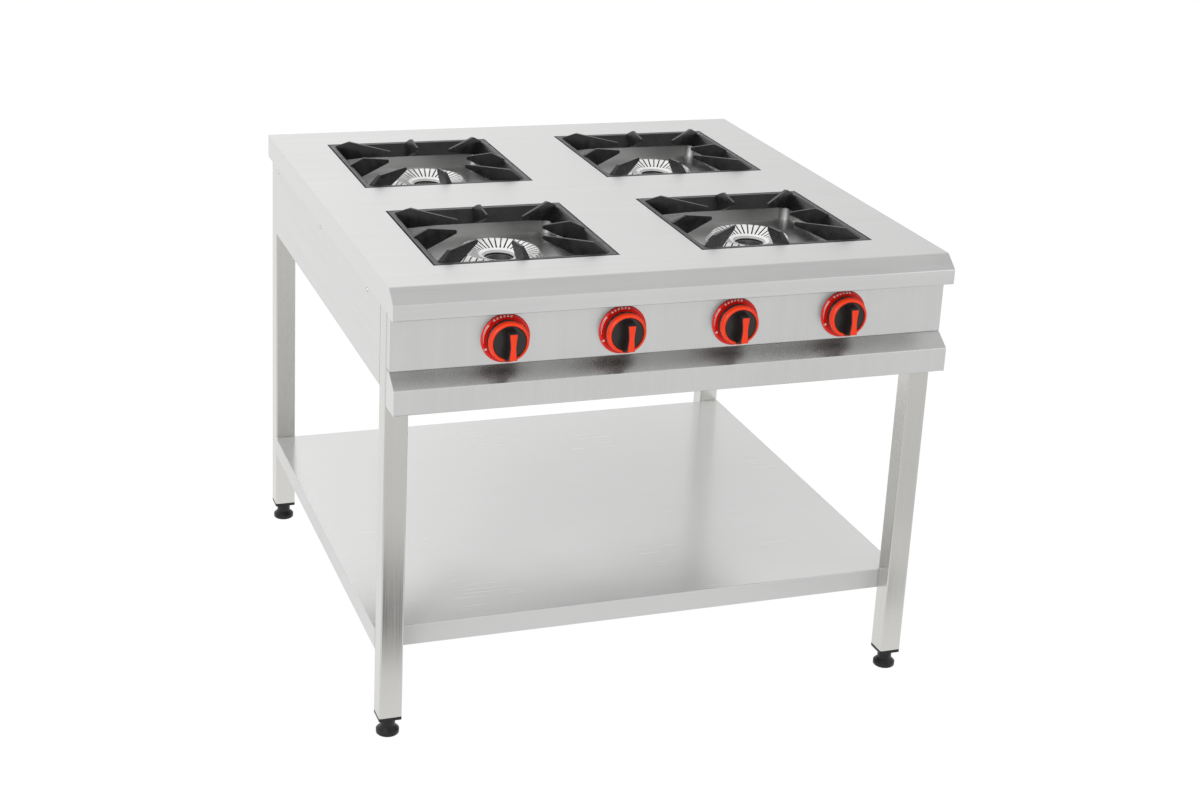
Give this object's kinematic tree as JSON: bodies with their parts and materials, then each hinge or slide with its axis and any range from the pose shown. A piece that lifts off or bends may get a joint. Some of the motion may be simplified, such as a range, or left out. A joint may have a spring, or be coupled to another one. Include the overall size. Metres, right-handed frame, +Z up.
{
  "type": "freestanding gas cooking range",
  "caption": "Open-stand stainless gas range with lift-out cast grates, drip trays, slotted burners, push-and-turn knobs, lower shelf and levelling feet.",
  "frame": {"origin": "floor level, at the middle of the bounding box in X and Y", "axes": "+X to the right seen from the front, +Y to the back, +Z up"},
  "size_m": [1, 1.046, 0.834],
  "materials": {
    "worktop_steel": "satin, grain along X",
    "panel_steel": "satin, grain upright",
    "steel_tube": "satin, grain along the tube",
    "galvanised_steel": "matt",
    "polished_steel": "polished",
    "black_cast_iron": "black enamel, fine grain",
    "grey_cast_iron": "as cast",
    "bright_burner_metal": "machined",
    "brass": "machined",
    "turned_brass": "turned",
    "aluminium_pipe": "drawn",
    "painted_pipe": "grey primer",
    "red_gloss_plastic": "gloss",
    "knob_plastic": "fine texture, red ring and pointer",
    "black_plastic": "moulded",
    "screw_steel": "plated"
  },
  "bodies": {
    "stove": {"back_panel": "panel_steel", "burner_bar_front": "galvanised_steel", "burner_bar_rear": "galvanised_steel", "burner_base_front_left": "grey_cast_iron", "burner_base_front_right": "grey_cast_iron", "burner_base_rear_left": "grey_cast_iron", "burner_base_rear_right": "grey_cast_iron", "control_panel": "panel_steel", "feed_pipes": "aluminium_pipe", "front_apron": "panel_steel", "gas_manifold": "painted_pipe", "injectors": "brass", "inlet_pipe": "painted_pipe", "knob_bezels": "red_gloss_plastic", "leg_cap_front_left": "black_plastic", "leg_cap_front_right": "black_plastic", "leg_cap_rear_left": "black_plastic", "leg_cap_rear_right": "black_plastic", "leg_front_left": "steel_tube", "leg_front_right": "steel_tube", "leg_rear_left": "steel_tube", "leg_rear_right": "steel_tube", "lower_shelf": "panel_steel", "shelf_stiffener": "galvanised_steel", "side_panel_left": "panel_steel", "side_panel_right": "panel_steel", "side_screws": "screw_steel", "support_rail_centre": "galvanised_steel", "support_rail_left": "galvanised_steel", "support_rail_right": "galvanised_steel", "valve_body_1": "brass", "valve_body_2": "brass", "valve_body_3": "brass", "valve_body_4": "brass", "worktop_cross": "worktop_steel", "worktop_frame": "worktop_steel"},
    "tray_front_left": {"drip_tray_front_left": "polished_steel"},
    "grate_front_left": {"grate_front_left": "black_cast_iron"},
    "crown_front_left": {"burner_crown_front_left": "bright_burner_metal"},
    "tray_front_right": {"drip_tray_front_right": "polished_steel"},
    "grate_front_right": {"grate_front_right": "black_cast_iron"},
    "crown_front_right": {"burner_crown_front_right": "bright_burner_metal"},
    "tray_rear_left": {"drip_tray_rear_left": "polished_steel"},
    "grate_rear_left": {"grate_rear_left": "black_cast_iron"},
    "crown_rear_left": {"burner_crown_rear_left": "bright_burner_metal"},
    "tray_rear_right": {"drip_tray_rear_right": "polished_steel"},
    "grate_rear_right": {"grate_rear_right": "black_cast_iron"},
    "crown_rear_right": {"burner_crown_rear_right": "bright_burner_metal"},
    "foot_front_left": {"foot_front_left": "black_plastic"},
    "foot_front_right": {"foot_front_right": "black_plastic"},
    "foot_rear_left": {"foot_rear_left": "black_plastic"},
    "foot_rear_right": {"foot_rear_right": "black_plastic"},
    "plug_1": {"valve_plug_1": "turned_brass"},
    "knob_1": {"knob_1": "knob_plastic"},
    "plug_2": {"valve_plug_2": "turned_brass"},
    "knob_2": {"knob_2": "knob_plastic"},
    "plug_3": {"valve_plug_3": "turned_brass"},
    "knob_3": {"knob_3": "knob_plastic"},
    "plug_4": {"valve_plug_4": "turned_brass"},
    "knob_4": {"knob_4": "knob_plastic"}
  },
  "joints": [
    {"name": "tray_lift_front_left", "type": "slide", "parent": "stove", "child": "tray_front_left", "axis": [0, 0, 1], "range_m": [0, 0.12]},
    {"name": "grate_lift_front_left", "type": "slide", "parent": "tray_front_left", "child": "grate_front_left", "axis": [0, 0, 1], "range_m": [0, 0.1]},
    {"name": "crown_lift_front_left", "type": "slide", "parent": "tray_front_left", "child": "crown_front_left", "axis": [0, 0, 1], "range_m": [0, 0.04]},
    {"name": "tray_lift_front_right", "type": "slide", "parent": "stove", "child": "tray_front_right", "axis": [0, 0, 1], "range_m": [0, 0.12]},
    {"name": "grate_lift_front_right", "type": "slide", "parent": "tray_front_right", "child": "grate_front_right", "axis": [0, 0, 1], "range_m": [0, 0.1]},
    {"name": "crown_lift_front_right", "type": "slide", "parent": "tray_front_right", "child": "crown_front_right", "axis": [0, 0, 1], "range_m": [0, 0.04]},
    {"name": "tray_lift_rear_left", "type": "slide", "parent": "stove", "child": "tray_rear_left", "axis": [0, 0, 1], "range_m": [0, 0.12]},
    {"name": "grate_lift_rear_left", "type": "slide", "parent": "tray_rear_left", "child": "grate_rear_left", "axis": [0, 0, 1], "range_m": [0, 0.1]},
    {"name": "crown_lift_rear_left", "type": "slide", "parent": "tray_rear_left", "child": "crown_rear_left", "axis": [0, 0, 1], "range_m": [0, 0.04]},
    {"name": "tray_lift_rear_right", "type": "slide", "parent": "stove", "child": "tray_rear_right", "axis": [0, 0, 1], "range_m": [0, 0.12]},
    {"name": "grate_lift_rear_right", "type": "slide", "parent": "tray_rear_right", "child": "grate_rear_right", "axis": [0, 0, 1], "range_m": [0, 0.1]},
    {"name": "crown_lift_rear_right", "type": "slide", "parent": "tray_rear_right", "child": "crown_rear_right", "axis": [0, 0, 1], "range_m": [0, 0.04]},
    {"name": "foot_screw_front_left", "type": "slide", "parent": "stove", "child": "foot_front_left", "axis": [0, 0, -1], "range_m": [0, 0.02]},
    {"name": "foot_screw_front_right", "type": "slide", "parent": "stove", "child": "foot_front_right", "axis": [0, 0, -1], "range_m": [0, 0.02]},
    {"name": "foot_screw_rear_left", "type": "slide", "parent": "stove", "child": "foot_rear_left", "axis": [0, 0, -1], "range_m": [0, 0.02]},
    {"name": "foot_screw_rear_right", "type": "slide", "parent": "stove", "child": "foot_rear_right", "axis": [0, 0, -1], "range_m": [0, 0.02]},
    {"name": "knob_turn_1", "type": "hinge", "parent": "stove", "child": "plug_1", "pos_m": [-0.3045, -0.477, 0.722], "axis": [0, -1, 0], "range_deg": [0, 180]},
    {"name": "knob_push_1", "type": "slide", "parent": "plug_1", "child": "knob_1", "axis": [0, 1, 0], "range_m": [0, 0.003], "stiffness_N_per_m": 800},
    {"name": "knob_turn_2", "type": "hinge", "parent": "stove", "child": "plug_2", "pos_m": [-0.1015, -0.477, 0.722], "axis": [0, -1, 0], "range_deg": [0, 180]},
    {"name": "knob_push_2", "type": "slide", "parent": "plug_2", "child": "knob_2", "axis": [0, 1, 0], "range_m": [0, 0.003], "stiffness_N_per_m": 800},
    {"name": "knob_turn_3", "type": "hinge", "parent": "stove", "child": "plug_3", "pos_m": [0.1015, -0.477, 0.722], "axis": [0, -1, 0], "range_deg": [0, 180]},
    {"name": "knob_push_3", "type": "slide", "parent": "plug_3", "child": "knob_3", "axis": [0, 1, 0], "range_m": [0, 0.003], "stiffness_N_per_m": 800},
    {"name": "knob_turn_4", "type": "hinge", "parent": "stove", "child": "plug_4", "pos_m": [0.3045, -0.477, 0.722], "axis": [0, -1, 0], "range_deg": [0, 180]},
    {"name": "knob_push_4", "type": "slide", "parent": "plug_4", "child": "knob_4", "axis": [0, 1, 0], "range_m": [0, 0.003], "stiffness_N_per_m": 800}
  ]
}
